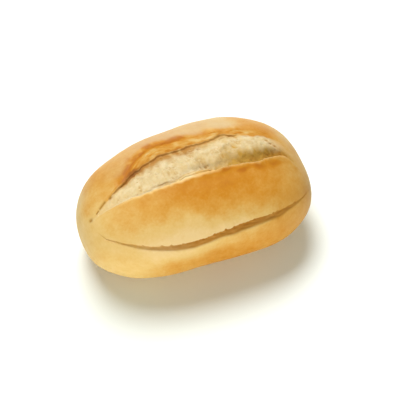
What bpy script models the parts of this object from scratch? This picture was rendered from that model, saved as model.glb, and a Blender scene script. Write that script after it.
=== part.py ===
"""A crusty white bread roll with two lengthwise scores, modelled as one solid.

The roll lies along X, its back is towards +Y, and it stands on Z = 0. Its skin is a sphere whose
poles are the two ends of the roll. Rings run round the roll and lines run from end to end. Every
point is placed by functions of the ring and the line: first on a smooth loaf, then raised or sunk
by the relief of the two scores.
"""

import math

import bmesh
import bpy
import numpy as np

# Driving dimensions, in metres.
LENGTH = 0.125
WIDTH = 0.079
HEIGHT = 0.056

# The smooth loaf, from the driving dimensions.
WIDEST_LEVEL = 0.39 * HEIGHT  # height of the widest outline above the floor
UPPER_RISE = HEIGHT - WIDEST_LEVEL
LOWER_DROP = 1.16 * WIDEST_LEVEL  # past the floor, so that the floor cuts a flat base
BASE_ROUNDING = 0.0022  # the base's edge bends up over this height
NOSE_POWER = 0.82  # below 1, the ends are blunt
GIRTH_POWER = 0.735  # below 1, the girth stays full towards the ends
TOP_POWER = 0.66  # the same for the height of the back
SECTION_POWER = 0.90  # below 1, a section's corners are fuller than an ellipse's
UNDERSIDE_POWER = 0.86
END_TAPER = 0.104  # the +X end is wider than the middle by this share, and the -X end narrower
PLAN_BOW = 0.0033  # the middle lies this far back of the ends
PLAN_SHEAR = -0.042  # X shift for each metre of Y
FRONT_PRESS = 0.0019  # the lower front is pressed in by this much, a little to -X of its middle

# The skin's lines, counted round the roll from the back's widest place, over the top to the front.
RINGS = 50
RING_SPREAD = 1.2  # above 1, the rings near the middle stand closer together
BACK_LINES = 17
LEDGE_LINES = 8
CRUMB_LINES = 20
STRIP_LINES = 18
GROOVE_LINES = 8
FLANK_LINES = 25

# The burst score on top. Its places are angles round the section, in degrees from the back.
LIP_ANGLE = 101.2
LIP_DRIFT = 1.4  # the lip turns forward by this much from the middle to the +X end
LIP_BEND = 1.4  # the lip bows forward by this much over the hollow, and back a little past it
LIP_RETREAT = 2.6  # near its -X end the lip draws back by this much
LIP_END_TURN = 22.0  # past the crumb's end the lip turns down over the +X nose
OPENING_ANGLE = 25.5
EDGE_BEND_PLACES = (-0.66, -0.57, -0.49, -0.42, -0.36, -0.29, -0.20, 0.0, 0.26, 0.36, 0.46)
EDGE_BENDS = (0.0, 1.6, 0.5, 0.5, -0.4, 0.0, -0.2, 2.5, 2.5, -0.8, 1.2)  # the ledge's edge strays by these angles
LEDGE_ANGLE = 10.5
SEAM_ANGLE = 1.2  # the least angle between neighbouring edges, kept past the ends of a score

# Heights of the burst score's relief, in metres, up or down from the smooth loaf.
CREST_RISE = 0.0012
LEDGE_RISE = 0.0003
CREVICE_DEPTH = 0.0010
CREVICE_UNDERCUT = 0.0001
CRUMB_SWELL = 0.0009
CRUMB_FALL = 0.0042
LIP_RISE = 0.0011
LIP_OVERHANG = 0.0005
CREST_REACH = 0.0060  # the crust bends up to an edge over this distance

# The shut score on the front, a groove under the strip of crust between the scores.
GROOVE_ANGLE = 155.0
GROOVE_DRIFT = 4.6  # its +X half lies this much higher
GROOVE_LIFT = 25.0  # its -X end climbs this much towards the burst score
GROOVE_BOW = 0.8  # it bows back by this much before the climb
GROOVE_END_TURN = 2.0  # its -X end turns back by this much more
GROOVE_TAIL_TURN = 12.0  # and its last faint stretch by this much again
GROOVE_WIDTH = 0.0042
GROOVE_DEPTH = 0.0026
GROOVE_UNDERCUT = 0.0009
GROOVE_EDGE_RISE = 0.0004

# Where the loaf swells or sinks a little: place along it, angle, radius and height.
SWELLS = (
    (-0.79, 35.0, 0.016, 0.0013),
    (-0.35, 28.0, 0.020, 0.0006),
    (-0.90, 208.0, 0.012, -0.0010),
    (0.95, 108.0, 0.013, -0.0027),
    (0.80, 178.0, 0.010, -0.0009),
)

CRUST_COLOUR = (0.62, 0.33, 0.09, 1.0)
CRUST_ROUGHNESS = 0.55


def power(value, exponent):
    """A power that keeps its value's sign."""
    return np.sign(value) * np.abs(value) ** exponent


def ease(low, high, value):
    """0 below low, 1 above high, and a smooth rise between."""
    share = np.clip((value - low) / (high - low), 0.0, 1.0)
    return share * share * (3.0 - 2.0 * share)


def hump(middle, width, value):
    """1 at the middle, falling away to nothing on both sides."""
    return np.exp(-(((value - middle) / width) ** 2))


def stepped(places, heights, value):
    """A smooth stair through heights at rising places."""
    total = heights[0] + 0.0 * value
    for low, high, start, end in zip(places, places[1:], heights, heights[1:]):
        total = total + (end - start) * ease(low, high, value)
    return total


def loaf(ring, angle):
    """Points of the smooth loaf. Ring runs from 0 to pi along it and angle goes round it."""
    along = power(-np.cos(ring), NOSE_POWER)
    girth = np.sin(ring) ** GIRTH_POWER
    rise = np.sin(ring) ** TOP_POWER
    sine = np.sin(angle)
    above = sine > 0.0
    side = np.where(above, SECTION_POWER, UNDERSIDE_POWER)
    y = 0.5 * WIDTH * girth * power(np.cos(angle), SECTION_POWER) * (1.0 + END_TAPER * along)
    y = y + PLAN_BOW * (1.0 - along**2)
    lower_front = ease(2.6, 3.1, angle) * (1.0 - ease(3.9, 4.5, angle))
    y = y + FRONT_PRESS * hump(-0.06, 0.34, along) * lower_front
    z = WIDEST_LEVEL + np.where(above, UPPER_RISE, LOWER_DROP) * rise * power(sine, side)
    z = np.where(z > BASE_ROUNDING, z, np.clip(z + BASE_ROUNDING, 0.0, None) ** 2 / (4.0 * BASE_ROUNDING))
    x = 0.5 * LENGTH * along + PLAN_SHEAR * y
    return np.stack([x, y, z], axis=-1)


def spot(along, turn):
    """The point of the smooth loaf at that place along it and that angle in degrees."""
    return loaf(np.arccos(power(-np.array(along), 1.0 / NOSE_POWER)), np.radians(turn))


def swelling(points):
    """How far the skin swells, or sinks, over points of the smooth loaf."""
    total = 0.0
    for along, turn, radius, height in SWELLS:
        away = np.linalg.norm(points - spot(along, turn), axis=-1)
        total = total + height * hump(0.0, radius, away)
    return total


def section_frame(ring, angle):
    """Outward and onward directions in the section's plane, and metres for each radian round it."""
    small = 1e-3
    onward = (loaf(ring, angle + small) - loaf(ring, angle - small)) / (2.0 * small)
    onward[..., 0] = 0.0
    pace = np.maximum(np.linalg.norm(onward, axis=-1), 1e-6)
    onward = onward / pace[..., None]
    outward = np.stack([0.0 * pace, onward[..., 2], -onward[..., 1]], axis=-1)
    return outward, onward, pace


def score_edges(along):
    """Angles, in radians, of the crest, the ledge's edge, the front lip and the groove's upper edge."""
    opened = np.sin(np.clip(1.0 + along, 0.0, 1.0) * math.pi / 2)
    opened = opened * (1.0 - 0.30 * ease(0.45, 0.85, along))
    bow = hump(0.50, 0.15, along) - 0.8 * hump(0.68, 0.08, along)
    course = LIP_ANGLE + LIP_DRIFT * along + LIP_BEND * bow
    retreat = ease(-1.0, -0.85, along) * (1.0 - ease(-0.85, -0.25, along))
    lip = course - LIP_RETREAT * retreat + LIP_END_TURN * ease(0.78, 0.93, along)
    behind = course + 0.5 * LIP_END_TURN * ease(0.76, 0.93, along)
    behind = behind - SEAM_ANGLE - OPENING_ANGLE * opened
    edge = behind + stepped(EDGE_BEND_PLACES, EDGE_BENDS, along)
    crest = behind - SEAM_ANGLE - LEDGE_ANGLE * ledge_share(along)
    crest = np.minimum(crest, edge - 0.5 * SEAM_ANGLE)
    climb = np.clip((-0.20 - along) / 0.68, 0.0, 1.12) ** 2.3
    groove = GROOVE_ANGLE - GROOVE_DRIFT * ease(-0.35, 0.30, along) - GROOVE_LIFT * climb
    groove = groove - GROOVE_BOW * hump(-0.35, 0.13, along) - GROOVE_END_TURN * ease(-0.76, -0.90, along)
    groove = groove - GROOVE_TAIL_TURN * ease(-0.865, -0.93, along)
    return [np.radians(angle) for angle in (crest, edge, lip, groove)]


def ledge_share(along):
    """How far the torn ledge behind the opening has parted, from 0 to 1."""
    places = [-0.58, -0.40, -0.27, 0.04, 0.18, 0.70, 0.85]
    parted = stepped(places, [0.0, 0.70, 1.0, 0.62, 0.24, 0.24, 0.0], along)
    return np.clip(parted, 0.0, 1.0)


def opening_share(along):
    """How far the burst score stands open, from 0 to 1."""
    return ease(-0.94, -0.50, along) * (1.0 - ease(0.66, 0.90, along))


def crevice_share(along):
    """How far the gap behind the crumb gapes, from 0 to 1. It is shut on the +X side."""
    places = [-0.71, -0.67, -0.58, -0.46, -0.30, 0.0, 0.12, 0.42, 0.52]
    gapes = [0.0, 0.45, 0.65, 1.0, 0.95, 0.85, 0.55, 0.55, 0.0]
    return stepped(places, gapes, along)


def groove_share(along):
    """How far the front score stands open, from 0 to 1."""
    closing = (1.0 - 0.20 * ease(0.05, 0.60, along)) * (1.0 - ease(0.48, 0.90, along))
    return np.clip((along + 0.93) / 0.73, 0.0, 1.0) * (closing + 0.14 * hump(0.20, 0.14, along))


def crest_height(along):
    """Height of the crest over the smooth loaf."""
    return CREST_RISE * opening_share(along) * (1.0 - 0.55 * ease(0.35, 0.60, along))


def back_relief(share, span, along):
    """The crust behind the opening bends up to its crest."""
    to_crest = (1.0 - share) * span
    return crest_height(along) * hump(0.0, CREST_REACH, to_crest), 0.0 * span


def ledge_height(along):
    """Height of the ledge's own edge, over the crevice."""
    parted = np.sqrt(ledge_share(along))
    return crest_height(along) * (1.0 - parted) + LEDGE_RISE * parted


def ledge_relief(share, span, along):
    """A scarp drops from the crest to a torn ledge that slopes to the crevice."""
    crest = crest_height(along)
    drop = stepped([0.0, 0.30, 1.0], [0.0, 0.8, 1.0], share)
    return crest + (ledge_height(along) - crest) * drop, 0.0 * span


def crumb_relief(share, span, along):
    """From the ledge's edge down the crevice, over the swollen crumb and down to the front lip."""
    opened = opening_share(along)
    gape = crevice_share(along)
    edge = ledge_height(along)
    swell = CRUMB_SWELL * opened
    crevice = np.minimum(edge, 0.5 * swell) - CREVICE_DEPTH * gape
    left_hollow = 0.03 + 0.17 * ease(-0.50, -0.20, along)
    hollow = left_hollow + 0.30 * ease(-0.15, 0.25, along) + 0.50 * ease(0.22, 0.55, along)
    shoulder = 0.23 - 0.12 * ease(0.10, 0.28, along)
    height = stepped(
        [0.0, 0.06, shoulder, 0.36, 0.95, 1.0],
        [edge, crevice, 0.5 * swell, swell, -CRUMB_FALL * hollow * opened, lip_height(along)],
        share,
    )
    under = -CREVICE_UNDERCUT * hump(0.05, 0.035, share) * gape
    over = LIP_OVERHANG * hump(0.97, 0.03, share) * opened
    return height, under + over


def lip_height(along):
    """Height of the front lip over the smooth loaf: low at the -X end, proud over the hollow."""
    return LIP_RISE * opening_share(along) * (0.25 + 0.75 * ease(-0.30, 0.35, along))


def strip_relief(share, span, along):
    """The strip of crust rises to the front lip, and a little to the groove's torn edge."""
    from_lip = share * span
    to_groove = (1.0 - share) * span
    lip = lip_height(along) * hump(0.0, 0.5 * CREST_REACH, from_lip)
    edge = GROOVE_EDGE_RISE * groove_share(along) * hump(0.0, 0.5 * CREST_REACH, to_groove)
    return lip + edge, 0.0 * span


def groove_relief(share, span, along):
    """The groove runs in under the strip's edge and rises to the flank."""
    opened = 0.12 + 0.88 * groove_share(along) ** 1.2
    opened = opened * ease(-0.95, -0.86, along) * (1.0 - ease(0.84, 0.92, along))
    edge = GROOVE_EDGE_RISE * groove_share(along)
    floor = -GROOVE_DEPTH * opened
    rising = np.clip((share - 0.2) / 0.8, 0.0, 1.0)
    height = edge + (floor - edge) * ease(0.0, 0.2, share) - floor * rising
    return height, -GROOVE_UNDERCUT * hump(0.22, 0.16, share) * opened


def flank_relief(share, span, along):
    """The flank and the base follow the smooth loaf."""
    return 0.0 * span, 0.0 * span


def skin_points():
    """The point where each ring meets each line, and the number of lines."""
    step = np.linspace(-1.0, 1.0, RINGS + 1)[:, None]
    ring = 0.5 * math.pi * (1.0 + power(step, RING_SPREAD))
    along = power(-np.cos(ring), NOSE_POWER)
    crest, edge, lip, groove = score_edges(along)
    pace = section_frame(ring, groove)[2]
    width = 0.0005 + GROOVE_WIDTH * groove_share(along)
    groove_end = groove + np.minimum(width / pace, 0.25)
    full_turn = 2.0 * math.pi + 0.0 * along
    zones = [
        (0.0 * along, crest, BACK_LINES, lambda t: 1.0 - (1.0 - t) ** 1.5, back_relief),
        (crest, edge, LEDGE_LINES, lambda t: t, ledge_relief),
        (edge, lip, CRUMB_LINES, lambda t: t - 0.11 * np.sin(2.0 * math.pi * t), crumb_relief),
        (lip, groove, STRIP_LINES, lambda t: t - 0.08 * np.sin(2.0 * math.pi * t), strip_relief),
        (groove, groove_end, GROOVE_LINES, lambda t: t, groove_relief),
        (groove_end, full_turn, FLANK_LINES, lambda t: 0.35 * t + 0.65 * t**1.4, flank_relief),
    ]
    columns = []
    for start, end, lines, spread, relief in zones:
        share = spread(np.arange(lines) / lines)[None, :]
        angle = start + (end - start) * share
        outward, onward, pace = section_frame(ring, angle)
        height, shift = relief(share, (end - start) * pace, along)
        points = loaf(ring, angle)
        height = height + swelling(points)
        columns.append(points + outward * height[..., None] + onward * shift[..., None])
    return np.concatenate(columns, axis=1)


def centred(points):
    """The points moved so that their box stands on the origin."""
    low, high = points.min(axis=(0, 1)), points.max(axis=(0, 1))
    return points - [(low[0] + high[0]) / 2, (low[1] + high[1]) / 2, low[2]]


def make_roll():
    """A sphere's mesh with each point moved to its place on the roll."""
    points = centred(skin_points())
    lines = points.shape[1]
    mesh_edit = bmesh.new()
    bmesh.ops.create_uvsphere(mesh_edit, u_segments=lines, v_segments=RINGS, radius=1.0)
    for vertex in mesh_edit.verts:
        ring = round(math.acos(max(-1.0, min(1.0, vertex.co.z))) / math.pi * RINGS)
        line = round(math.atan2(vertex.co.y, vertex.co.x) / (2.0 * math.pi) * lines) % lines
        vertex.co = points[ring, line]
    # The sphere's +Z pole becomes the -X end, so the skin is its mirror image and its faces turn over.
    bmesh.ops.reverse_faces(mesh_edit, faces=mesh_edit.faces)
    mesh = bpy.data.meshes.new("roll")
    mesh_edit.to_mesh(mesh)
    mesh_edit.free()
    mesh.shade_smooth()
    mesh.set_sharp_from_angle(angle=math.radians(50.0))
    return mesh


def crust_material():
    material = bpy.data.materials.new("baked_crust")
    material.use_nodes = True
    shader = material.node_tree.nodes["Principled BSDF"]
    shader.inputs["Base Color"].default_value = CRUST_COLOUR
    shader.inputs["Roughness"].default_value = CRUST_ROUGHNESS
    shader.inputs["Metallic"].default_value = 0.0
    return material


def main():
    for old in list(bpy.data.objects):
        bpy.data.objects.remove(old)
    collection = bpy.data.collections.new("bread_roll")
    bpy.context.scene.collection.children.link(collection)
    mesh = make_roll()
    mesh.materials.append(crust_material())
    roll = bpy.data.objects.new("roll", mesh)
    collection.objects.link(roll)


main()
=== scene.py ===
"""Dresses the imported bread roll: its torn crust and crumb in fine relief, a pale floor, soft light
and a camera.

Run as a script. The roll's skin is a sphere whose poles are the two ends of the roll: rings go round
it and lines go from end to end, and each point is placed by functions of its ring and its line.
"""

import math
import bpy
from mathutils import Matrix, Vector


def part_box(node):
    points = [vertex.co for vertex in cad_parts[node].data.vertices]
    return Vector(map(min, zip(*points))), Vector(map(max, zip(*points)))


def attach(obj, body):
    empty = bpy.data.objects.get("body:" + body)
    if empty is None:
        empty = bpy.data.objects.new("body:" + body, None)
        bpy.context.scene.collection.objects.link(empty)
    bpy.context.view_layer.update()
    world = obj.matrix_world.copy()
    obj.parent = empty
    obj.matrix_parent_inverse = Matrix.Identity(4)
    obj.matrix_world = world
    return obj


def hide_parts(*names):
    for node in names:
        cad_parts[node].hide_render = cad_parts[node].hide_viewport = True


bl_info = {
    "name": "Crusty bread roll",
    "version": (1, 0, 0),
    "blender": (4, 5, 0),
    "location": "3D View > Sidebar > Bread roll",
    "description": "Models a scored crusty roll on its packed frame, with a plain stage",
    "category": "Object",
}

import bmesh
import bpy
import numpy as np
from mathutils import Quaternion, Vector, noise

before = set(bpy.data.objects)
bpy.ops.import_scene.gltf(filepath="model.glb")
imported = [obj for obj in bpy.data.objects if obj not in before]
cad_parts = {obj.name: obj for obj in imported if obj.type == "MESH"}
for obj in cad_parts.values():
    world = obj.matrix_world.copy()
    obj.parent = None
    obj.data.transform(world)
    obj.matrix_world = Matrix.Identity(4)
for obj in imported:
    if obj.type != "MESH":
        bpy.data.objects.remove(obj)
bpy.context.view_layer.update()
ROLL_LOW, ROLL_HIGH = [np.array(corner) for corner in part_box("roll")]
ROLL_SIZE = ROLL_HIGH - ROLL_LOW

# The skin's rings and its lines, counted round the roll from its back over the top to the front.
RINGS = 320
BACK_LINES = 50
LEDGE_LINES = 34
CRUMB_LINES = 72
STRIP_LINES = 52
GROOVE_LINES = 24
FLANK_LINES = 64
RING_SPREAD = 1.2  # above 1, the rings near the middle stand closer together

# The smooth loaf, as shares of the roll's own box.
LOAF_LENGTH = 0.998
LOAF_WIDTH = 0.986
LOAF_HEIGHT = 0.987
WIDEST_LEVEL = 0.39
LOWER_DROP = 1.16
BASE_ROUNDING = 0.0022
NOSE_POWER = 0.82
GIRTH_POWER = 0.735
TOP_POWER = 0.66
SECTION_POWER = 0.90
UNDERSIDE_POWER = 0.86
END_TAPER = 0.104
PLAN_BOW = 0.0033
PLAN_SHEAR = -0.042
FRONT_PRESS = 0.0019
PRESSED_PLACE = -0.06
PRESSED_HALF_LENGTH = 0.34
LOWER_FRONT = (2.6, 3.1, 3.9, 4.5)  # angles round the section, as a span, in radians

# Where the scores run, as angles round the section in degrees from the back.
LIP_ANGLE = 101.2
LIP_DRIFT = 1.4
LIP_BEND = 1.4
LIP_END_TURN = 22.0
LIP_RETREAT = 2.6
OPENING_ANGLE = 25.5
LEDGE_ANGLE = 10.5
SEAM_ANGLE = 1.2
GROOVE_ANGLE = 155.0
GROOVE_DRIFT = 4.6
GROOVE_LIFT = 25.0
GROOVE_START = -0.93
GROOVE_GROWTH = 0.73  # how much of the roll's length it takes to open fully
CLIMB_START = -0.20
CLIMB_LENGTH = 0.68
CLIMB_MOST = 1.12
CLIMB_POWER = 2.3
GROOVE_BOW = 0.8
GROOVE_END_TURN = 2.0
GROOVE_TAIL_TURN = 12.0
GROOVE_SWAY = 0.4
GROOVE_BITE = 1.9  # how far the groove's torn edge is bitten back
EDGE_JAGS = 0.5  # how far the ledge's edge steps to and fro

# Stairs along the roll: pairs of a place, from -1 to 1, and the value there, eased in between.
LEDGE_PARTING = (
    (-0.58, 0.0), (-0.40, 0.70), (-0.27, 1.0), (0.04, 0.62), (0.18, 0.24), (0.70, 0.24), (0.85, 0.0))
CREVICE_GAPE = (
    (-0.71, 0.0), (-0.67, 0.45), (-0.58, 0.65), (-0.46, 1.0), (-0.30, 0.95), (0.0, 0.85),
    (0.12, 0.55), (0.42, 0.55), (0.52, 0.0))
EDGE_BENDS = (  # in degrees
    (-0.66, 0.0), (-0.57, 1.6), (-0.49, 0.5), (-0.42, 0.5), (-0.36, -0.4), (-0.29, 0.0),
    (-0.20, -0.2), (0.0, 2.5), (0.26, 2.5), (0.36, -0.8), (0.46, 1.2))

# How brown the crust is baked along the roll, as such stairs, from 0, pale, to 1, dark.
CROWN_BAKE = (
    (-0.98, 0.30), (-0.86, 0.44), (-0.66, 0.58), (-0.50, 0.52), (-0.25, 0.54), (0.0, 0.50),
    (0.20, 0.38), (0.40, 0.26), (0.60, 0.58), (0.86, 0.50), (0.97, 0.40))
BEHIND_BAKE = ((0.50, 0.46), (0.70, 0.70), (0.80, 0.62), (0.88, 0.36))
SHOULDER_BAKE = (
    (-0.97, 0.17), (-0.70, 0.36), (-0.38, 0.57), (-0.06, 0.78), (0.20, 0.74), (0.54, 0.70),
    (0.80, 0.52), (0.97, 0.44))
OVER_GROOVE_BAKE = (
    (-0.97, 0.26), (-0.75, 0.28), (-0.45, 0.02), (0.0, 0.10), (0.40, 0.34), (0.80, 0.55),
    (0.90, 0.52), (0.97, 0.38))
UNDER_GROOVE_BAKE = (
    (-0.97, 0.28), (-0.75, 0.26), (-0.45, 0.04), (0.0, 0.24), (0.40, 0.50), (0.72, 0.56), (0.97, 0.50))
FLANK_BAKE = (
    (-0.97, 0.24), (-0.70, 0.24), (-0.35, 0.50), (0.0, 0.68), (0.30, 0.64), (0.70, 0.56), (0.96, 0.50))
LEDGE_BAKE = ((-0.50, 0.62), (-0.38, 0.50), (-0.20, 0.52), (-0.10, 0.62), (0.04, 0.50), (0.30, 0.36))
BACK_BAKE = 0.50
BASE_BAKE = 0.42
FLAP_BAKE = 0.46
PALING_ANGLE = 137.0  # round the section, where the strip over the groove grows paler
CROWN_BLOOM = (
    (-0.92, 0.28), (-0.76, 0.05), (-0.48, 0.30), (-0.12, 0.72), (0.42, 0.70), (0.66, 0.12),
    (0.76, 0.12), (0.88, 0.30))

# Spans along the roll: where each thing begins, stands full, begins to fade and ends.
OPENING_SPAN = (-0.94, -0.50, 0.66, 0.90)
RAGGED_SPAN = (-0.95, -0.60, 0.80, 0.97)
RETREAT_SPAN = (-1.0, -0.85, -0.85, -0.25)
GROOVE_SPAN = (-0.95, -0.86, 0.84, 0.92)
PARTING_SPAN = (-0.80, -0.55, 0.55, 0.70)
BURST_SPAN = (-0.70, -0.48, 0.50, 0.66)
SCORCHED_SPAN = (-0.62, -0.50, -0.46, -0.30)
GOLDEN_SPAN = (-0.07, 0.02, 0.13, 0.18)
RIM_SPAN = (-0.86, -0.50, 0.76, 0.86)
FRILL_SPAN = (-0.80, -0.50, 0.76, 0.86)
BROWN_LIP_SPAN = (-0.20, 0.30, 0.78, 0.90)
NOSE_SPAN = (0.66, 0.80, 0.82, 0.92)

# Such spans across the ledge and the groove, from 0 to 1.
LEDGE_INSIDE = (0.0, 0.12, 0.88, 1.0)
GROOVE_INSIDE = (0.05, 0.3, 0.7, 1.0)
# Where the groove's inside is painted, browner and shaded.
GROOVE_DARK = (0.0, 0.06, 0.80, 1.0)

# Brings smooth noise to between about -1 and 1.
NOISE_GAIN = 1.6

# Waves along the roll: how far each strays, in degrees or as a share, the length of its bends, and
# its seed.
LIP_WAVES = ((0.5, 0.20, 1), (0.5, 0.07, 2), (0.25, 0.025, 3))
EDGE_WAVES = ((0.35, 0.15, 4), (0.4, 0.022, 6))
CREST_WAVES = ((0.6, 0.17, 7), (0.6, 0.06, 8), (0.3, 0.02, 52))
CREST_UNEVENNESS = ((0.30, 0.12, 13), (0.15, 0.04, 39))
LIP_UNEVENNESS = ((0.30, 0.09, 14), (0.15, 0.03, 12))
SCORCH_UNEVENNESS = ((0.45, 0.09, 16), (0.30, 0.03, 40))

# Lumps in space: how far each strays, its size in metres, and its seed.
CRUST_WAVINESS = ((0.00028, 0.017, 1), (0.00007, 0.005, 2))
CRUMB_LUMPS = ((0.00050, 0.0065, 4), (0.00032, 0.0027, 5))
BAKE_STRAYING = ((2.2, 0.012, 41), (1.0, 0.004, 42))  # in degrees
SCORCH_BLOTCHES = ((0.34, 0.0055, 48), (0.20, 0.0020, 49))

# How far from a torn edge the crust bends up to it or browns, in metres.
CREST_REACH = 0.0060
SCORCH_REACH = 0.0030
LIP_REACH = 0.0026
NOSE_REACH = 0.0030
GROOVE_EDGE_REACH = 0.0030

# Smaller parts of the relief, in metres.
LEDGE_EDGE_RISE = 0.0003
NOSE_RISE = 0.0003
GROOVE_EDGE_RISE = 0.0004
GROOVE_UNDERCUT = 0.0009
CREVICE_LEAST = 0.0003
HOLE_DEPTH = 0.0008
SAG_DEPTH = 0.0006
FOLD_DEPTH = 0.0003
LIP_OVERHANG = 0.0005
CREVICE_UNDERCUT = 0.0001
NICK_DEPTH = 0.0006

# Where things lie across the crumb and across the groove, from 0 to 1.
CREVICE_PLACE = 0.06
CRUMB_TOP_PLACE = 0.36
GROOVE_FLOOR_PLACE = 0.16

# The darkest part of the crevice, scorched crust with painted shade: its middle and half its length along
# the roll.
BURNT_SHADE_PLACE = -0.475
BURNT_SHADE_HALF_LENGTH = 0.075

# The fold in the crumb behind the lip: the same, how far behind the lip it lies, and half its width.
FOLD_PLACE = -0.29
FOLD_HALF_LENGTH = 0.10
FOLD_FROM_LIP = 0.0019
FOLD_WIDTH = 0.0006

# The torn flap behind the lip: its middle and half its length along the roll, and its reach in metres.
FLAP_PLACE = -0.015
FLAP_HALF_LENGTH = 0.17
FLAP_REACH = 0.0023

# The ledge's torn layers: where each ends across it, and its share of the ledge's drop.
LEDGE_LAYERS = ((0.10, 0.46), (0.46, 0.22), (0.80, 0.32))

# Where the loaf swells or sinks a little: place along it, angle, radius and height.
SWELLS = (
    (-0.79, 35.0, 0.016, 0.0013), (-0.35, 28.0, 0.020, 0.0006), (-0.90, 208.0, 0.012, -0.0010),
    (0.950, 108.0, 0.013, -0.0027), (0.80, 178.0, 0.010, -0.0009))

# How the hollow behind the lip deepens along the roll: its share of the full depth at the -X end,
# and what each slope adds between two places.
HOLLOW_LEAST = 0.03
HOLLOW_SLOPES = ((0.17, -0.50, -0.20), (0.30, -0.15, 0.25), (0.50, 0.22, 0.55))

# Pits in the crumb near its +X end: place along the roll, place across the crumb and size along it.
PITS = (
    (0.695, 0.30, 0.010), (0.715, 0.38, 0.012), (0.742, 0.44, 0.013),
    (0.765, 0.78, 0.011), (0.800, 0.76, 0.012), (0.840, 0.74, 0.014))
PIT_WIDTH = 0.03

# Nicks where the score behind the crumb begins, at the -X end: place along the roll and angle of
# both ends, and half their width.
NICKS = (
    (-0.925, 93.6, -0.917, 94.1, 0.0009),
    (-0.864, 92.8, -0.845, 92.0, 0.0004),
    (-0.825, 90.9, -0.774, 89.3, 0.0007),
    (-0.722, 89.2, -0.714, 88.9, 0.0008))


def power(value, exponent):
    """A power that keeps its value's sign."""
    return np.sign(value) * np.abs(value) ** exponent


def ease(low, high, value):
    """0 below low, 1 above high, and a smooth rise between."""
    share = np.clip((value - low) / (high - low), 0.0, 1.0)
    return share * share * (3.0 - 2.0 * share)


def within(span, value):
    """1 inside a span and 0 outside it, with smooth slopes at both ends."""
    start, full, fading, end = span
    return ease(start, full, value) * (1.0 - ease(fading, end, value))


def hump(middle, width, value):
    """1 at the middle, falling away to nothing on both sides."""
    return np.exp(-(((value - middle) / width) ** 2))


def stepped(places, heights, value):
    """A smooth stair through heights at rising places."""
    total = heights[0] + 0.0 * value
    for low, high, start, end in zip(places, places[1:], heights, heights[1:]):
        total = total + (end - start) * ease(low, high, value)
    return total


def stair(steps, value):
    """A smooth stair through pairs of a place and the height there."""
    return stepped(*zip(*steps), value)


def wander(value, size, seed):
    """A smooth random course along the roll, between about -1 and 1, with bends of that size."""
    flat = np.ravel(value) / size
    course = [noise.noise((place, 7.3 * seed, 2.1)) for place in flat.tolist()]
    return np.array(course).reshape(np.shape(value)) * NOISE_GAIN


def waves(table, along):
    """The sum of a table's waves along the roll."""
    return sum(reach * wander(along, size, seed) for reach, size, seed in table)


def jagged(value, size, seed):
    """A random course that stays on flats and steps quickly between them, between -1 and 1."""
    return np.tanh(3.0 * wander(value, size, seed))


def grain(points, size, seed):
    """Smooth random lumps in space, between about -1 and 1. Size is one length or one for each axis."""
    flat = (points.reshape(-1, 3) / np.array(size) + 11.7 * seed).tolist()
    heights = np.array([noise.noise(place) for place in flat])
    return heights.reshape(points.shape[:-1]) * NOISE_GAIN


def lumps(table, points):
    """The sum of a table's lumps in space."""
    return sum(reach * grain(points, size, seed) for reach, size, seed in table)


def pores(points, size, seed):
    """1 in the middle of round pores that are about that size, and 0 between them."""
    flat = (points.reshape(-1, 3) / size + 5.9 * seed).tolist()
    nearest = np.array([noise.voronoi(place)[0][0] for place in flat])
    return ease(0.55, 0.10, nearest).reshape(points.shape[:-1])


class RollShape(bpy.types.PropertyGroup):
    """Sizes of the roll's relief."""

    crest_rise: bpy.props.FloatProperty(
        name="Crest rise", description="How far the crust bends up behind the opening",
        default=0.0012, unit="LENGTH", precision=4)
    crevice_depth: bpy.props.FloatProperty(
        name="Crevice depth", description="Depth of the gap between the ledge and the crumb",
        default=0.0006, unit="LENGTH", precision=4)
    crumb_swell: bpy.props.FloatProperty(
        name="Crumb swell", description="Height of the crumb over the smooth loaf",
        default=0.0009, unit="LENGTH", precision=4)
    crumb_fall: bpy.props.FloatProperty(
        name="Crumb fall", description="Depth of the hollow behind the front lip",
        default=0.0042, unit="LENGTH", precision=4)
    lip_rise: bpy.props.FloatProperty(
        name="Lip rise", description="Height of the torn lip in front of the crumb",
        default=0.0011, unit="LENGTH", precision=4)
    groove_width: bpy.props.FloatProperty(
        name="Groove width", description="Widest part of the front score",
        default=0.0042, unit="LENGTH", precision=4)
    groove_depth: bpy.props.FloatProperty(
        name="Groove depth", description="Depth of the front score",
        default=0.0026, unit="LENGTH", precision=4)


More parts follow.
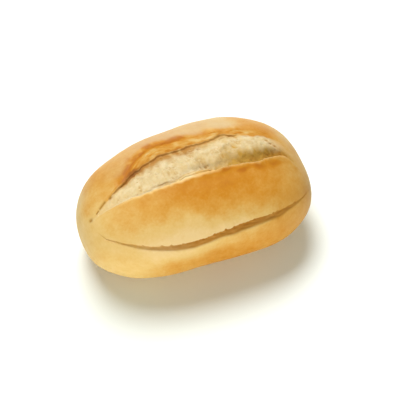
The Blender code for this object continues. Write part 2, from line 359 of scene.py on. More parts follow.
class RollColours(bpy.types.PropertyGroup):
    """Colours of crust and crumb."""

    pale_crust: bpy.props.FloatVectorProperty(
        name="Pale crust", description="Crust that has hardly browned",
        default=(0.70, 0.51, 0.25), subtype="COLOR", size=3)
    straw_crust: bpy.props.FloatVectorProperty(
        name="Straw crust", description="Crust that has begun to brown",
        default=(0.64, 0.43, 0.15), subtype="COLOR", size=3)
    golden_crust: bpy.props.FloatVectorProperty(
        name="Golden crust", description="Crust at an even bake",
        default=(0.58, 0.305, 0.060), subtype="COLOR", size=3)
    toasted_crust: bpy.props.FloatVectorProperty(
        name="Toasted crust", description="Crust where it browned well",
        default=(0.51, 0.205, 0.012), subtype="COLOR", size=3)
    dark_crust: bpy.props.FloatVectorProperty(
        name="Dark crust", description="Crust at its brown edges",
        default=(0.43, 0.145, 0.008), subtype="COLOR", size=3)
    # Scorched crust with painted shade, darkest where the crevice gapes most.
    burnt_crust_and_shade: bpy.props.FloatVectorProperty(
        name="Burnt crust", description="Crust and crumb at their darkest, along the crevice",
        default=(0.255, 0.085, 0.010), subtype="COLOR", size=3)
    bloom: bpy.props.FloatVectorProperty(
        name="Bloom", description="The dull pale bloom on the crown",
        default=(0.49, 0.37, 0.245), subtype="COLOR", size=3)
    crumb: bpy.props.FloatVectorProperty(
        name="Crumb", description="The pale torn inside",
        default=(0.70, 0.57, 0.34), subtype="COLOR", size=3)
    crumb_dim: bpy.props.FloatVectorProperty(
        name="Dim crumb", description="The crumb's darker patches",
        default=(0.55, 0.395, 0.17), subtype="COLOR", size=3)
    # Painted shade for the crumb's hollow, pores, lip's foot and crevice side; its random patches are the
    # crumb's own tone.
    crumb_shade: bpy.props.FloatVectorProperty(
        name="Crumb shade", description="The crumb's pores and hollows",
        default=(0.54, 0.315, 0.058), subtype="COLOR", size=3)
    # Paler torn crust with a painted highlight along the lip's edge.
    lip: bpy.props.FloatVectorProperty(
        name="Lip", description="The thin torn edge of the crust",
        default=(0.78, 0.55, 0.22), subtype="COLOR", size=3)
    # Painted shade in the crevice behind the crumb, in the crumb's pits and in the fold behind the lip.
    cleft: bpy.props.FloatVectorProperty(
        name="Cleft", description="The bottom of the crevice behind the crumb",
        default=(0.40, 0.182, 0.032), subtype="COLOR", size=3)
    # Painted shade in the nicks at the -X end.
    nick_shade: bpy.props.FloatVectorProperty(
        name="Nick", description="The bottom of the nicks at the -X end",
        default=(0.36, 0.19, 0.035), subtype="COLOR", size=3)
    # Browner crust of the front score's inside, with painted shade over it.
    cut: bpy.props.FloatVectorProperty(
        name="Cut", description="The inside of the front score",
        default=(0.455, 0.212, 0.034), subtype="COLOR", size=3)


class StageLook(bpy.types.PropertyGroup):
    """Floor and lights."""

    floor: bpy.props.FloatVectorProperty(
        name="Floor", description="Colour of the floor",
        default=(0.93, 0.985, 0.975), subtype="COLOR", size=3)
    back_light: bpy.props.FloatProperty(
        name="Back light", description="Power of the window behind the roll, in watts", default=18.4)
    front_light: bpy.props.FloatProperty(
        name="Front light", description="Power of the low light in front, in watts", default=17.3)
    sky: bpy.props.FloatProperty(
        name="Sky", description="Strength of the light from all round", default=0.235)


def loaf(ring, angle):
    """Points of the smooth loaf. Ring runs from 0 to pi along it and angle goes round it."""
    length, width, height = ROLL_SIZE * (LOAF_LENGTH, LOAF_WIDTH, LOAF_HEIGHT)
    level = WIDEST_LEVEL * height
    along = power(-np.cos(ring), NOSE_POWER)
    girth = np.sin(ring) ** GIRTH_POWER
    rise = np.sin(ring) ** TOP_POWER
    sine = np.sin(angle)
    above = sine > 0.0
    side = np.where(above, SECTION_POWER, UNDERSIDE_POWER)
    reach = np.where(above, height - level, LOWER_DROP * level)
    y = 0.5 * width * girth * power(np.cos(angle), SECTION_POWER) * (1.0 + END_TAPER * along)
    y = y + PLAN_BOW * (1.0 - along**2)
    y = y + FRONT_PRESS * hump(PRESSED_PLACE, PRESSED_HALF_LENGTH, along) * within(LOWER_FRONT, angle)
    z = level + reach * rise * power(sine, side)
    bent = np.clip(z + BASE_ROUNDING, 0.0, None) ** 2 / (4.0 * BASE_ROUNDING)
    z = np.where(z > BASE_ROUNDING, z, bent)
    x = 0.5 * length * along + PLAN_SHEAR * y
    return np.stack([x, y, z], axis=-1)


def spot(along, turn):
    """The point of the smooth loaf at that place along it and that angle in degrees."""
    return loaf(np.arccos(power(-np.array(along), 1.0 / NOSE_POWER)), np.radians(turn))


def swelling(points):
    """How far the skin swells, or sinks, over points of the smooth loaf."""
    return sum(
        height * hump(0.0, radius, np.linalg.norm(points - spot(along, turn), axis=-1))
        for along, turn, radius, height in SWELLS)


def nicked(points):
    """1 in the middle of the nicks, falling to 0 outside them."""
    most = np.zeros(points.shape[:-1])
    for along, turn, other_along, other_turn, size in NICKS:
        start = spot(along, turn)
        course = spot(other_along, other_turn) - start
        share = np.clip((points - start) @ course / (course @ course), 0.0, 1.0)
        away = np.linalg.norm(points - start - share[..., None] * course, axis=-1)
        most = np.maximum(most, hump(0.0, size, away))
    return most


def section_frame(ring, angle):
    """Outward and onward directions in the section's plane, and metres for each radian round it."""
    small = 1e-3
    onward = (loaf(ring, angle + small) - loaf(ring, angle - small)) / (2.0 * small)
    onward[..., 0] = 0.0
    pace = np.maximum(np.linalg.norm(onward, axis=-1), 1e-6)
    onward = onward / pace[..., None]
    outward = np.stack([0.0 * pace, onward[..., 2], -onward[..., 1]], axis=-1)
    return outward, onward, pace


def ledge_share(along):
    """How wide the torn ledge behind the opening is, from 0 to 1."""
    return np.clip(stair(LEDGE_PARTING, along), 0.0, 1.0)


def opening_share(along):
    """How far the burst score stands open, from 0 to 1."""
    return within(OPENING_SPAN, along)


def groove_share(along):
    """How far the front score stands open, from 0 to 1."""
    opening = np.clip((along - GROOVE_START) / GROOVE_GROWTH, 0.0, 1.0)
    closing = (1.0 - 0.20 * ease(0.05, 0.60, along)) * (1.0 - ease(0.48, 0.90, along))
    return opening * (closing + 0.14 * hump(0.20, 0.14, along))


def crevice_share(along):
    """How far the gap behind the crumb gapes: widest left of the middle and shut on the right."""
    return stair(CREVICE_GAPE, along)


def score_edges(along):
    """Angles, in radians, of the crest, the ledge's edge, the lip, and the groove's torn and even edges."""
    opened = np.sin(np.clip(1.0 + along, 0.0, 1.0) * math.pi / 2)
    opened = opened * (1.0 - 0.30 * ease(0.45, 0.85, along))
    ragged = within(RAGGED_SPAN, along)
    bow = hump(0.50, 0.15, along) - 0.8 * hump(0.68, 0.08, along)
    course = LIP_ANGLE + LIP_DRIFT * along + LIP_BEND * bow
    lip = course - LIP_RETREAT * within(RETREAT_SPAN, along) + LIP_END_TURN * ease(0.78, 0.93, along)
    lip = lip + ragged * waves(LIP_WAVES, along)
    behind = course + 0.5 * LIP_END_TURN * ease(0.76, 0.93, along)
    behind = behind - SEAM_ANGLE - OPENING_ANGLE * opened
    edge = behind + stair(EDGE_BENDS, along)
    edge = edge + ragged * (waves(EDGE_WAVES, along) + EDGE_JAGS * jagged(along, 0.075, 5))
    crest = behind - SEAM_ANGLE - ledge_share(along) * (LEDGE_ANGLE + waves(CREST_WAVES, along))
    crest = np.minimum(crest, edge - 0.5 * SEAM_ANGLE)
    climb = np.clip((CLIMB_START - along) / CLIMB_LENGTH, 0.0, CLIMB_MOST) ** CLIMB_POWER
    groove = GROOVE_ANGLE - GROOVE_DRIFT * ease(-0.35, 0.30, along) - GROOVE_LIFT * climb
    groove = groove - GROOVE_BOW * hump(-0.35, 0.13, along) - GROOVE_END_TURN * ease(-0.76, -0.90, along)
    groove = groove - GROOVE_TAIL_TURN * ease(-0.865, -0.93, along)
    groove = groove - GROOVE_SWAY * groove_share(along) * wander(along, 0.10, 9)
    bites = np.clip(1.3 * wander(along, 0.036, 10), 0.0, 1.0) ** 1.5 + 0.2 * wander(along, 0.014, 54)
    torn = groove - GROOVE_BITE * groove_share(along) ** 0.5 * bites
    return [np.radians(angle) for angle in (crest, edge, lip, torn, groove)]


def crest_height(along, shape):
    """Height of the crest over the smooth loaf."""
    uneven = 1.0 + waves(CREST_UNEVENNESS, along)
    return shape.crest_rise * opening_share(along) * uneven * (1.0 - 0.55 * ease(0.35, 0.60, along))


def lip_height(along, shape):
    """Height of the front lip over the smooth loaf: low at the -X end, proud over the hollow."""
    proud = 0.25 + 0.75 * ease(-0.30, 0.35, along)
    uneven = 1.0 + waves(LIP_UNEVENNESS, along)
    return shape.lip_rise * opening_share(along) * proud * uneven


def ledge_height(along, shape):
    """Height of the ledge's own edge, over the crevice."""
    parted = np.sqrt(ledge_share(along))
    proud = LEDGE_EDGE_RISE * (1.0 + 0.5 * wander(along, 0.10, 15))
    return crest_height(along, shape) * (1.0 - parted) + proud * parted


def bake(along, angle, points):
    """How brown the crust is baked, from 0, pale, to 1, dark, apart from the edges of the scores."""
    place = np.degrees(angle) + lumps(BAKE_STRAYING, points)
    along = along + 0.045 * grain(points, 0.010, 43)
    crown, shoulder, flank = stair(CROWN_BAKE, along), stair(SHOULDER_BAKE, along), stair(FLANK_BAKE, along)
    over_groove, under_groove = stair(OVER_GROOVE_BAKE, along), stair(UNDER_GROOVE_BAKE, along)
    paling = PALING_ANGLE + 4.0 * ease(-0.15, 0.15, along)
    paling = paling - 6.0 * hump(-0.20, 0.13, along) - 4.0 * hump(0.30, 0.14, along)
    tone = stair((
        (8.0, BACK_BAKE), (33.0, crown), (57.0, crown), (76.0, stair(BEHIND_BAKE, along)),
        (98.0, shoulder), (paling - 24.0, shoulder), (paling + 16.0, over_groove), (156.0, over_groove),
        (162.0, under_groove), (181.0, flank), (205.0, flank), (240.0, BASE_BAKE)), place)
    end_tone = 0.34 + 0.10 * along
    return tone + (end_tone - tone) * ease(0.90, 0.99, np.abs(along))


def scorch(along, points):
    """How much browner than the crust round it the crest is, in blotches."""
    burst = within(BURST_SPAN, along) * (1.0 - 0.65 * ease(-0.02, 0.13, along))
    return burst * (0.57 + lumps(SCORCH_BLOTCHES, points))


def back_skin(share, span, along, angle, points, shape):
    """The crust behind the opening bends up to its crest, and browns there."""
    to_crest = (1.0 - share) * span
    height = crest_height(along, shape) * hump(0.0, CREST_REACH, to_crest)
    reach = SCORCH_REACH * (1.0 + waves(SCORCH_UNEVENNESS, along)) * (1.0 + 0.6 * hump(-0.48, 0.10, along))
    toast = bake(along, angle, points) + scorch(along, points) * hump(0.0, reach, to_crest)
    patch = along + 0.12 * grain(points, 0.014, 55) * ease(50.0, 25.0, np.degrees(angle))
    patch = patch + 0.04 * grain(points, 0.006, 56)
    behind_crest = to_crest + 0.003 * grain(points, 0.009, 53) - 0.006 * ease(-0.55, -0.80, along)
    bloom = stair(CROWN_BLOOM, patch) * ease(0.0010, 0.0065, behind_crest)
    bloom = bloom * ease(6.0, 40.0, np.degrees(angle) + 10.0 * grain(points, 0.013, 57))
    bloom = bloom * (1.0 - ease(0.90, 0.98, np.abs(patch)))
    return height, 0.0 * height, dict(toast=toast, bloom=bloom)


def burnt_and_shaded_edge(along):
    """How dark the ledge's edge is, scorched and with painted shade, where the crevice is deepest, from 0
    to 1.
    """
    return hump(BURNT_SHADE_PLACE, BURNT_SHADE_HALF_LENGTH, along)


def ledge_skin(share, span, along, angle, points, shape):
    """Torn layers step down from the crest to the ledge's edge."""
    crest, edge = crest_height(along, shape), ledge_height(along, shape)
    parted = np.sqrt(ledge_share(along))
    across = np.stack([points[..., 0], share * span, 0.0 * points[..., 0]], axis=-1)
    even = 1.0 - ease(-0.44, -0.22, along)
    drop, curl = 0.0, 0.0
    for layer, (place, part) in enumerate(LEDGE_LAYERS):
        end = place + 0.08 * wander(along, 0.11, 20 + layer) + 0.05 * jagged(along, 0.05, 24 + layer)
        drop = drop + part * ease(end - 0.09, end + 0.10, share)
        curl = curl + hump(end - 0.10, 0.08, share) * (0.3 + 0.7 * wander(along, 0.06, 28 + layer))
    drop, curl = drop + even * (share - drop), (1.0 - even) * curl
    lumpy = (1.0 - 0.6 * even) * grain(across, (0.0042, 0.0022, 1.0), 3)
    strands = grain(across, (0.0034, 0.0010, 1.0), 10)
    torn = 0.00014 * curl + 0.00026 * lumpy + 0.00006 * strands
    height = crest + (edge - crest) * drop + parted * within(LEDGE_INSIDE, share) * torn
    from_crest, to_edge = share * span, (1.0 - share) * span
    toast = stair(LEDGE_BAKE, along) + 0.18 * lumpy + 0.13 * strands - 0.05 * np.clip(curl, -0.5, 1.2)
    toast = toast + 0.9 * scorch(along, points) * hump(0.0, 0.0014, from_crest)
    right = ease(0.05, 0.20, along)
    blotch = 0.12 + 0.20 * lumpy + 0.08 * right
    toast = toast + blotch * hump(0.0, 0.0013 + 0.0007 * right, to_edge)
    toast = toast + 0.18 * within(SCORCHED_SPAN, along)
    # Scorched crust and painted shade at the ledge's edge where the crevice is deepest.
    burnt = 0.9 * burnt_and_shaded_edge(along) * ease(0.0018, 0.0007, to_edge + 0.0004 * lumpy)
    parting = within(PARTING_SPAN, along)
    toast = toast * parting + bake(along, angle, points) * (1.0 - parting)
    # Painted shade along the ledge's edge beside the crevice.
    sunk = 0.40 * crevice_share(along) * (1.0 - burnt_and_shaded_edge(along)) * hump(0.0, 0.0014, to_edge)
    sunk = np.clip(sunk * (0.8 + 0.5 * lumpy), 0.0, 1.0)
    return height, 0.0 * height, dict(toast=toast, torn=parted + 0.0 * share, burnt=burnt, cleft=sunk)


def flap_reach(along):
    """How far behind the lip the torn flap near the middle reaches, in metres."""
    return FLAP_REACH * np.clip(1.0 - ((along - FLAP_PLACE) / FLAP_HALF_LENGTH) ** 2, 0.0, 1.0) ** 0.6


def crumb_texture(share, along, across):
    """Height of the crumb's lumps and strands, and how deep its pores and pits are, from 0 to 1."""
    slanted = np.stack([across[..., 0] + 0.8 * across[..., 1], across[..., 1], across[..., 2]], axis=-1)
    strands = 0.00013 * grain(slanted, (0.0016, 0.0042, 1.0), 6) + 0.00010 * grain(across, 0.0010, 7)
    holes = 0.55 * pores(across, 0.0013, 8) * ease(0.0, 0.5, grain(across, 0.005, 9))
    for place, where, size in PITS:
        holes = holes + 0.9 * hump(place, size, along) * hump(where, PIT_WIDTH, share)
    return lumps(CRUMB_LUMPS, across) + strands, holes


def crumb_shade(share, along, across, to_lip, foot, body):
    """How much painted shade darkens the crumb: in the hollow behind the lip, at the lip's foot, in a band
    near the +X end and beside the crevice, with darker patches of its own tone.
    """
    # Painted shade in the hollow behind the lip.
    hollow = 1.25 * ease(0.38, 0.74, share + 0.06 * grain(across, 0.004, 45))
    hollow = hollow * ease(-0.04, 0.58, along) * (1.0 - 0.40 * ease(0.62, 0.74, along))
    # Painted shade at the lip's foot.
    at_foot = 0.50 * hump(foot - 0.01, 0.022, share) * ease(-0.40, -0.10, along)
    shade = (hollow + at_foot) * ease(0.0005, 0.0011, to_lip)
    # A painted shadow in a band beside the lip near the +X end.
    tail = hump(0.80, 0.08, along) * hump(0.80, 0.11, share)
    shade = shade + 0.8 * tail * (0.8 + 0.6 * grain(across, 0.0022, 59))
    # Random darker patches, the crumb's own tone.
    shade = shade + (0.30 + 0.4 * shade) * ease(0.0, 0.9, grain(across, 0.0030, 36)) * body
    # Painted shade beside the crevice.
    return shade + 0.60 * crevice_share(along) ** 0.5 * (1.0 - ease(0.09, 0.34, share))


def crevice_shade(share, along, across):
    """How far painted shade darkens the crumb's side of the crevice, in a ragged band."""
    ragged = 0.75 + 0.40 * wander(along, 0.045, 46) + 0.30 * grain(across, 0.0016, 47)
    dark = np.clip((1.5 - 0.7 * burnt_and_shaded_edge(along)) * crevice_share(along) * ragged, 0.0, 1.0)
    reach = (0.44 + 0.09 * grain(across, 0.0030, 51)) * (1.0 - 0.70 * ease(0.08, 0.26, along))
    reach = reach * ease(-0.85, -0.45, along)
    return dark * (1.0 - ease(0.12 * reach, reach + 0.02, share))


def crumb_skin(share, span, along, angle, points, shape):
    """From the ledge's edge down the crevice, over the swollen crumb and down to the front lip."""
    opened, gape = opening_share(along), crevice_share(along)
    flap = flap_reach(along)
    to_lip = (1.0 - share) * span
    across = np.stack([points[..., 0], share * span, 0.0 * points[..., 0]], axis=-1)
    body = ease(0.05, 0.16, share) * ease(0.0006, 0.0016, to_lip - flap) * opened
    texture, holes = crumb_texture(share, along, across)

    edge, lip = ledge_height(along, shape), lip_height(along, shape)
    swell = shape.crumb_swell * opened * (1.0 + 0.5 * wander(along, 0.16, 33))
    crevice = np.minimum(edge, 0.5 * swell) - (CREVICE_LEAST + shape.crevice_depth * opened) * gape
    hollow = HOLLOW_LEAST + sum(part * ease(low, high, along) for part, low, high in HOLLOW_SLOPES)
    fall = -(0.0001 + shape.crumb_fall * hollow) * opened
    shoulder = 0.23 - 0.12 * ease(0.10, 0.28, along) + 0.025 * wander(along, 0.05, 34)
    foot = 1.0 - (0.0010 + 0.0003 * wander(along, 0.05, 35) + flap) / span
    top = 1.0 - (0.0001 + flap) / span
    height = stair((
        (0.0, edge), (CREVICE_PLACE, crevice), (shoulder, 0.5 * swell), (CRUMB_TOP_PLACE, swell),
        (foot, fall), (top, lip)), share)
    sag = hump(0.5 * flap, 0.3 * flap + 1e-5, to_lip) * ease(0.0006, 0.0016, flap)
    fold = hump(FOLD_PLACE, FOLD_HALF_LENGTH, along) * hump(FOLD_FROM_LIP, FOLD_WIDTH, to_lip)
    height = height + body * (texture - HOLE_DEPTH * holes) - SAG_DEPTH * sag - FOLD_DEPTH * fold
    under = -CREVICE_UNDERCUT * hump(0.05, 0.03, share) * gape
    over = LIP_OVERHANG * hump(flap + 0.0004, 0.0004, to_lip) * opened

    golden = within(GOLDEN_SPAN, along) * ease(flap + 0.0010, flap - 0.0004, to_lip)
    tan = ease(0.66, 0.90, along + 0.05 * grain(across, 0.004, 50))
    crusted = ease(0.80, 0.92, along)
    baked = bake(along, angle, points)
    tan_toast = FLAP_BAKE * (1.0 - crusted) + baked * crusted
    edge_toast = baked * (1.0 - 0.5 * gape) * (1.0 - golden) + FLAP_BAKE * golden
    torn = ease(0.02, 0.13, share + 0.03 * grain(across, 0.003, 37))
    shade = crumb_shade(share, along, across, to_lip, foot, body)
    # Painted shade in the crevice, in the crumb's pores and pits and in the fold behind the lip.
    cleft = crevice_shade(share, along, across) + 0.8 * holes * body + 0.45 * fold
    from_edge = share * span + 0.0004 * grain(across, 0.003, 58)
    # A painted highlight on the lip's torn edge, over its paler crust.
    rim = ease(foot + 0.01, top, share) * within(RIM_SPAN, along)
    rim = rim * (1.0 - 0.50 * ease(-0.20, 0.30, along)) * (1.0 - 0.55 * ease(0.0006, 0.0016, flap))
    looks = dict(
        toast=tan_toast * tan + edge_toast * (1.0 - tan),
        crumb=torn * (1.0 - 0.80 * tan) * (1.0 - 0.85 * golden) * opened**0.5,
        cleft=np.clip(cleft, 0.0, 1.0),
        # Painted shade in the crumb's pores and pits, too.
        shade=np.clip(shade + 0.35 * holes, 0.0, 1.0),
        # Scorched crust and painted shade on the crumb's side there.
        burnt=0.9 * burnt_and_shaded_edge(along) * ease(0.0024, 0.0012, from_edge),
        rim=rim * (1.0 - 0.3 * sag),
    )
    return height, under + over, looks


def strip_skin(share, span, along, angle, points, shape):
    """The strip of crust between the scores bends up to the front lip."""
    from_lip, to_groove = share * span, (1.0 - share) * span
    height = lip_height(along, shape) * hump(0.0, LIP_REACH, from_lip)
    height = height + NOSE_RISE * hump(0.0, NOSE_REACH, from_lip) * within(NOSE_SPAN, along)
    height = height + GROOVE_EDGE_RISE * groove_share(along) * hump(0.0, GROOVE_EDGE_REACH, to_groove)
    right = within(BROWN_LIP_SPAN, along)
    toast = bake(along, angle, points)
    blotches = np.clip(grain(points, (0.0075, 0.004, 0.004), 17), -0.2, 1.0)
    toast = toast + (0.12 + 0.42 * blotches) * hump(0.0026, 0.0022, from_lip) * right
    toast = toast - 0.12 * hump(0.0, 0.0035, to_groove) * groove_share(along)
    # A painted highlight along the strip's lip, over its paler torn edge.
    frill = 0.0015 * (1.0 + 0.5 * wander(along, 0.05, 44))
    rim = 0.85 * (1.0 - 0.55 * right) * (1.0 - ease(0.0, frill, from_lip)) * within(FRILL_SPAN, along)
    return height, 0.0 * height, dict(toast=toast, rim=rim)


def groove_skin(share, span, along, angle, points, shape):
    """The front score runs in under the strip's torn edge and rises to the flank."""
    ends = within(GROOVE_SPAN, along)
    opened = (0.12 + 0.88 * groove_share(along) ** 1.2) * ends
    edge = GROOVE_EDGE_RISE * groove_share(along)
    floor = -shape.groove_depth * opened
    rising = np.clip((share - GROOVE_FLOOR_PLACE) / (1.0 - GROOVE_FLOOR_PLACE), 0.0, 1.0)
    height = edge + (floor - edge) * ease(0.0, GROOVE_FLOOR_PLACE, share) - floor * rising
    strands = 0.00018 * grain(points, (0.003, 0.001, 0.001), 18)
    height = height + strands * within(GROOVE_INSIDE, share) * opened
    under = -GROOVE_UNDERCUT * hump(0.18, 0.14, share) * opened
    # The groove's inside: browner crust with painted shade, strongest where the score stands open.
    cut = ends * (0.10 + 0.90 * groove_share(along) ** 1.3) * within(GROOVE_DARK, share)
    return height, under, dict(toast=bake(along, angle, points), cut=cut)


def flank_skin(share, span, along, angle, points, shape):
    """The lower flank and the base follow the smooth loaf."""
    toast = bake(along, angle, points)
    floured = 1.0 - ease(0.0004, 0.003, points[..., 2])
    return 0.0 * share * span, 0.0 * share * span, dict(toast=toast, base=floured)


def evenly(share):
    """Lines at even distances across a zone."""
    return share


def close_at_start(share):
    """Lines that stand closer together at the start of a zone."""
    return 0.35 * share + 0.65 * share**1.4


def close_at_end(share):
    """Lines that stand closer together at the end of a zone."""
    return 1.0 - (1.0 - share) ** 1.5


def close_at_both(share):
    """Lines that stand closer together at both ends of a zone."""
    return share - 0.10 * np.sin(2.0 * math.pi * share)


# Several looks carry painted shade in the crumb's hollows, the crevice, pits, fold, nicks and groove, and a
# painted highlight along the lip; the rest are the roll's own colours.
LOOKS = ("toast", "bloom", "torn", "crumb", "cleft", "cut", "shade", "rim", "burnt", "nick_shade", "base")


def skin(shape):
    """The point where each ring meets each line, and the looks there."""
    step = np.linspace(-1.0, 1.0, RINGS + 1)[:, None]
    ring = 0.5 * math.pi * (1.0 + power(step, RING_SPREAD))
    along = power(-np.cos(ring), NOSE_POWER)
    crest, edge, lip, torn, groove = score_edges(along)
    width = 0.0005 + shape.groove_width * groove_share(along) * (1.0 + 0.12 * wander(along, 0.12, 19))
    groove_end = groove + np.minimum(width / section_frame(ring, groove)[2], 0.25)
    zones = (
        (0.0 * along, crest, BACK_LINES, close_at_end, back_skin),
        (crest, edge, LEDGE_LINES, evenly, ledge_skin),
        (edge, lip, CRUMB_LINES, close_at_both, crumb_skin),
        (lip, torn, STRIP_LINES, close_at_both, strip_skin),
        (torn, groove_end, GROOVE_LINES, evenly, groove_skin),
        (groove_end, 2.0 * math.pi + 0.0 * along, FLANK_LINES, close_at_start, flank_skin),
    )
    columns, looks = [], {name: [] for name in LOOKS}
    for start, end, lines, spread, relief in zones:
        share = spread(np.arange(lines) / lines)[None, :]
        angle = start + (end - start) * share
        outward, onward, pace = section_frame(ring, angle)
        points = loaf(ring, angle)
        height, shift, zone_looks = relief(share, (end - start) * pace, along, angle, points, shape)
        nicks = nicked(points)
        height = height + swelling(points) - NICK_DEPTH * nicks
        # Painted shade at the bottom of the nicks.
        zone_looks["nick_shade"] = nicks
        standing = ease(0.0, 0.006, points[..., 2])
        height = height + standing * lumps(CRUST_WAVINESS, points)
        columns.append(points + outward * height[..., None] + onward * shift[..., None])
        for name in LOOKS:
            looks[name].append(np.broadcast_to(zone_looks.get(name, 0.0), angle.shape))
    points = np.concatenate(columns, axis=1)
    low, high = points.min(axis=(0, 1)), points.max(axis=(0, 1))
    points = ROLL_LOW + (points - low) * ROLL_SIZE / (high - low)
    return points, {name: np.concatenate(parts, axis=1) for name, parts in looks.items()}


def make_roll(shape):
    """A sphere's mesh with each point moved to its place on the roll, and its looks as attributes."""
    points, looks = skin(shape)
    lines = points.shape[1]
    edit = bmesh.new()
    bmesh.ops.create_uvsphere(edit, u_segments=lines, v_segments=RINGS, radius=1.0)
    places = []
    for vertex in edit.verts:
        ring = round(math.acos(max(-1.0, min(1.0, vertex.co.z))) / math.pi * RINGS)
        line = round(math.atan2(vertex.co.y, vertex.co.x) / (2.0 * math.pi) * lines) % lines
        vertex.co = points[ring, line]
        places.append((ring, line))
    # The sphere's +Z pole becomes the -X end, so the skin is its mirror image and its faces turn over.
    bmesh.ops.reverse_faces(edit, faces=edit.faces)
    mesh = bpy.data.meshes.new("roll_crust")
    edit.to_mesh(mesh)
    edit.free()
    mesh.shade_smooth()
    rings, columns = np.array(places).T
    for name, values in looks.items():
        layer = mesh.attributes.new(name, "FLOAT", "POINT")
        layer.data.foreach_set("value", values[rings, columns].astype(np.float32))
    return mesh


def add(tree, kind, inputs=(), **settings):
    """A shader node with its settings made and its inputs set or linked."""
    made = tree.nodes.new(kind)
    for name, value in settings.items():
        setattr(made, name, value)
    for name, value in dict(inputs).items():
        socket = made.inputs[name]
        if isinstance(value, bpy.types.NodeSocket):
            tree.links.new(value, socket)
        else:
            socket.default_value = value
    return made


def attribute(tree, name):
    """The value of one of the skin's own attributes."""
    return add(tree, "ShaderNodeAttribute", attribute_name=name).outputs["Fac"]


def math_node(tree, operation, first, second, clamp=False):
    """Two values put together, kept within 0 and 1 if clamped."""
    made = add(tree, "ShaderNodeMath", {0: first, 1: second}, operation=operation, use_clamp=clamp)
    return made.outputs[0]


def mottle(tree, place, size, detail, reach):
    """Noise round 0 with features of that size in metres, within its reach."""
    inputs = {"Vector": place, "Scale": 1.0 / size, "Detail": detail, "Roughness": 0.6}
    field = add(tree, "ShaderNodeTexNoise", inputs).outputs["Fac"]
    return math_node(tree, "MULTIPLY", math_node(tree, "SUBTRACT", field, 0.5), 2.0 * reach)


def blend_colour(tree, share, under, over):
    """The colour over the colour under it, by that share."""
    return add(tree, "ShaderNodeMix", {0: share, 6: under, 7: over}, data_type="RGBA").outputs[2]


def solid(colour, gain=1.0):
    """An opaque colour, brighter or darker by a gain."""
    return (*[min(1.0, part * gain) for part in colour], 1.0)


def ramp(tree, value, stops):
    """A colour ramp through (place, colour) stops."""
    made = add(tree, "ShaderNodeValToRGB", {"Fac": value})
    marks = made.color_ramp.elements
    while len(marks) < len(stops):
        marks.new(0.5)
    for mark, (place, colour) in zip(marks, stops):
        mark.position = place
        mark.color = colour
    return made.outputs["Color"]


# Mottles: size in metres, detail and reach.
CRUST_MOTTLES = ((0.021, 3.0, 0.18), (0.0055, 3.0, 0.16), (0.0014, 2.0, 0.11))
CRUMB_MOTTLES = ((0.0045, 4.0, 0.95), (0.0013, 3.0, 0.36))
BLOOM_MOTTLE = (0.006, 4.0, 0.22)
ROUGH_MOTTLE = (0.004, 3.0, 0.08)
WRINKLE_MOTTLE = (0.0016, 4.0, 0.10)
CRUMBLY_MOTTLE = (0.0009, 4.0, 0.60)


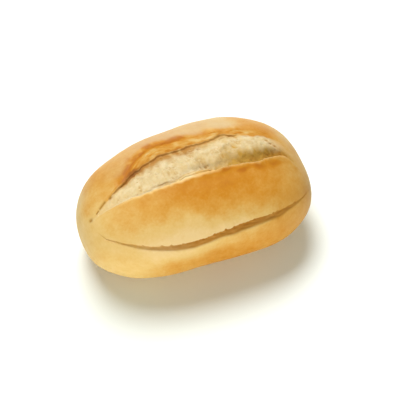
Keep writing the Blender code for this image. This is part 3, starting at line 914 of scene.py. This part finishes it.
def crust_material(colours):
    """Baked crust, torn layers and crumb, told apart by the skin's attributes."""
    material = bpy.data.materials.new("baked_crust")
    material.use_nodes = True
    tree = material.node_tree
    shader = tree.nodes["Principled BSDF"]
    place = add(tree, "ShaderNodeTexCoord").outputs["Object"]

    toast = attribute(tree, "toast")
    for mottles in CRUST_MOTTLES:
        toast = math_node(tree, "ADD", toast, mottle(tree, place, *mottles))
    crust = ramp(tree, toast, (
        (0.00, solid(colours.pale_crust)),
        (0.25, solid(colours.straw_crust)),
        (0.50, solid(colours.golden_crust)),
        (0.75, solid(colours.toasted_crust)),
        (1.00, solid(colours.dark_crust)),
    ))
    patchy = math_node(tree, "ADD", mottle(tree, place, *BLOOM_MOTTLE), 0.6)
    dusty = math_node(tree, "MULTIPLY", attribute(tree, "bloom"), patchy, clamp=True)
    crust = blend_colour(tree, dusty, crust, solid(colours.bloom))

    coarse, fine = [mottle(tree, place, *mottles) for mottles in CRUMB_MOTTLES]
    crumb_tone = math_node(tree, "ADD", math_node(tree, "ADD", coarse, 0.27), fine, clamp=True)
    crumb = blend_colour(tree, crumb_tone, solid(colours.crumb), solid(colours.crumb_dim))
    # Painted shade in the crumb's hollow, pores, lip's foot and beside the crevice, with darker patches of
    # its own.
    crumb = blend_colour(tree, attribute(tree, "shade"), crumb, solid(colours.crumb_shade))

    skin_colour = blend_colour(tree, attribute(tree, "crumb"), crust, crumb)
    # Painted highlight along the lip's edge, painted shade in the crevice, pits, fold, nicks and the
    # groove's inside over browner crust, and at the crevice's darkest stretch over scorched crust.
    for name, colour in (
            ("rim", colours.lip), ("cleft", colours.cleft), ("burnt", colours.burnt_crust_and_shade),
            ("cut", colours.cut), ("nick_shade", colours.nick_shade)):
        skin_colour = blend_colour(tree, attribute(tree, name), skin_colour, solid(colour))
    floured = math_node(tree, "MULTIPLY", attribute(tree, "base"), 0.5)
    skin_colour = blend_colour(tree, floured, skin_colour, solid(colours.straw_crust, 0.85))
    tree.links.new(skin_colour, shader.inputs["Base Color"])

    open_crumb = math_node(tree, "MAXIMUM", attribute(tree, "crumb"), attribute(tree, "torn"))
    rough = math_node(tree, "MULTIPLY", open_crumb, 0.32)
    rough = math_node(tree, "ADD", rough, mottle(tree, place, *ROUGH_MOTTLE))
    rough = math_node(tree, "ADD", rough, 0.52, clamp=True)
    tree.links.new(rough, shader.inputs["Roughness"])

    wrinkle = mottle(tree, place, *WRINKLE_MOTTLE)
    crumbly = math_node(tree, "MULTIPLY", mottle(tree, place, *CRUMBLY_MOTTLE), open_crumb)
    relief = math_node(tree, "ADD", wrinkle, crumbly)
    bump = add(tree, "ShaderNodeBump", {"Height": relief, "Distance": 0.0004, "Strength": 0.8})
    tree.links.new(bump.outputs[0], shader.inputs["Normal"])

    shader.inputs["Specular IOR Level"].default_value = 0.20
    shader.inputs["Subsurface Weight"].default_value = 0.06
    shader.inputs["Subsurface Radius"].default_value = (1.0, 0.5, 0.22)
    shader.inputs["Subsurface Scale"].default_value = 0.0015
    return material


def floor_material(colour):
    """A plain matt floor."""
    material = bpy.data.materials.new("pale_floor")
    material.use_nodes = True
    shader = material.node_tree.nodes["Principled BSDF"]
    shader.inputs["Base Color"].default_value = solid(colour)
    shader.inputs["Roughness"].default_value = 0.9
    shader.inputs["Specular IOR Level"].default_value = 0.1
    return material


def link_new(name, data):
    """An object of that data, in the scene's own collection."""
    made = bpy.data.objects.new(name, data)
    bpy.context.scene.collection.objects.link(made)
    return made


WHITE = (1.0, 1.0, 1.0)
WARM_WHITE = (1.0, 0.965, 0.81)

# The lights' places round the roll, in degrees and metres, and the turn of an oval about its own axis.
BACK_WINDOW = dict(azimuth=173.0, elevation=57.5, distance=1.2, size=(0.60, 1.05), turn=-58.0)
FRONT_GLOW = dict(azimuth=-24.0, elevation=12.0, distance=1.5, size=(0.60, 0.60), turn=0.0)

FLOOR_REACH = 6.0

# The camera's place round the roll, and what it is turned to.
CAMERA_AZIMUTH = math.radians(-22.0)
CAMERA_ELEVATION = math.radians(55.0)
CAMERA_DISTANCE = 0.9
CAMERA_LENS = 147.4
CAMERA_AIM = (0.0075, -0.0038)  # right of and above the roll's middle
ROLL_MIDDLE = (0.0, -0.0031, 0.025)


def facing(azimuth, elevation):
    """The direction from the roll to something at that azimuth and elevation."""
    flat = math.cos(elevation)
    return Vector((math.sin(azimuth) * flat, -math.cos(azimuth) * flat, math.sin(elevation)))


def make_camera():
    """A long lens that looks down at the roll from in front."""
    camera = link_new("camera", bpy.data.cameras.new("camera"))
    camera.data.lens = CAMERA_LENS
    camera.data.sensor_width = 36.0
    camera.data.clip_start = 0.01
    back = facing(CAMERA_AZIMUTH, CAMERA_ELEVATION)
    right = Vector((math.cos(CAMERA_AZIMUTH), math.sin(CAMERA_AZIMUTH), 0.0))
    aim = Vector(ROLL_MIDDLE) + right * CAMERA_AIM[0] + back.cross(right) * CAMERA_AIM[1]
    camera.location = Vector(ROLL_MIDDLE) + back * CAMERA_DISTANCE
    camera.rotation_euler = (aim - camera.location).to_track_quat("-Z", "Y").to_euler()
    bpy.context.scene.camera = camera


def make_light(name, watts, colour, azimuth, elevation, distance, size, turn):
    """An oval soft light that faces the roll."""
    lamp = bpy.data.lights.new(name, "AREA")
    lamp.shape = "ELLIPSE"
    lamp.size, lamp.size_y = size
    lamp.energy = watts
    lamp.color = colour
    light = link_new(name, lamp)
    towards = facing(math.radians(azimuth), math.radians(elevation))
    light.location = Vector(ROLL_MIDDLE) + towards * distance
    level = towards.to_track_quat("Z", "Y")
    light.rotation_euler = (level @ Quaternion((0.0, 0.0, 1.0), math.radians(turn))).to_euler()


class BREAD_OT_roll(bpy.types.Operator):
    """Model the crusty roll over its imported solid"""

    bl_idname = "bread.roll"
    bl_label = "Crusty roll"

    def execute(self, context):
        roll = link_new("crusty_roll", make_roll(context.scene.roll_shape))
        roll.data.materials.append(crust_material(context.scene.roll_colours))
        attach(roll, "root")
        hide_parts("roll")
        return {"FINISHED"}


class BREAD_OT_stage(bpy.types.Operator):
    """Set out the floor, the lights and the camera"""

    bl_idname = "bread.stage"
    bl_label = "Stage"

    def execute(self, context):
        scene, look = context.scene, context.scene.stage_look
        edit = bmesh.new()
        bmesh.ops.create_grid(edit, x_segments=1, y_segments=1, size=FLOOR_REACH)
        mesh = bpy.data.meshes.new("floor")
        edit.to_mesh(mesh)
        edit.free()
        mesh.materials.append(floor_material(look.floor))
        link_new("floor", mesh)

        make_light("back_window", look.back_light, WHITE, **BACK_WINDOW)
        make_light("front_glow", look.front_light, WARM_WHITE, **FRONT_GLOW)
        world = bpy.data.worlds.new("soft_sky")
        world.use_nodes = True
        sky = world.node_tree.nodes["Background"]
        sky.inputs["Color"].default_value = solid(WARM_WHITE)
        sky.inputs["Strength"].default_value = look.sky
        scene.world = world
        scene.view_settings.view_transform = "Standard"
        make_camera()
        return {"FINISHED"}


class BREAD_PT_panel(bpy.types.Panel):
    """Lists the roll's and the stage's operators with their settings"""

    bl_idname = "BREAD_PT_panel"
    bl_label = "Bread roll"
    bl_space_type = "VIEW_3D"
    bl_region_type = "UI"
    bl_category = "Bread roll"

    def draw(self, context):
        for group in (context.scene.roll_shape, context.scene.roll_colours, context.scene.stage_look):
            box = self.layout.box()
            for name in group.__annotations__:
                box.prop(group, name)
        self.layout.operator(BREAD_OT_roll.bl_idname)
        self.layout.operator(BREAD_OT_stage.bl_idname)


CLASSES = (RollShape, RollColours, StageLook, BREAD_OT_roll, BREAD_OT_stage, BREAD_PT_panel)
SETTINGS = {"roll_shape": RollShape, "roll_colours": RollColours, "stage_look": StageLook}


def register():
    """Make the classes and the scene's settings known to Blender."""
    for made in CLASSES:
        bpy.utils.register_class(made)
    for name, group in SETTINGS.items():
        setattr(bpy.types.Scene, name, bpy.props.PointerProperty(type=group))


def unregister():
    """Take the settings and the classes away again."""
    for name in SETTINGS:
        delattr(bpy.types.Scene, name)
    for made in reversed(CLASSES):
        bpy.utils.unregister_class(made)


def main():
    """Build the stage and the roll."""
    register()
    bpy.ops.bread.stage()
    bpy.ops.bread.roll()


if __name__ == "__main__":
    main()
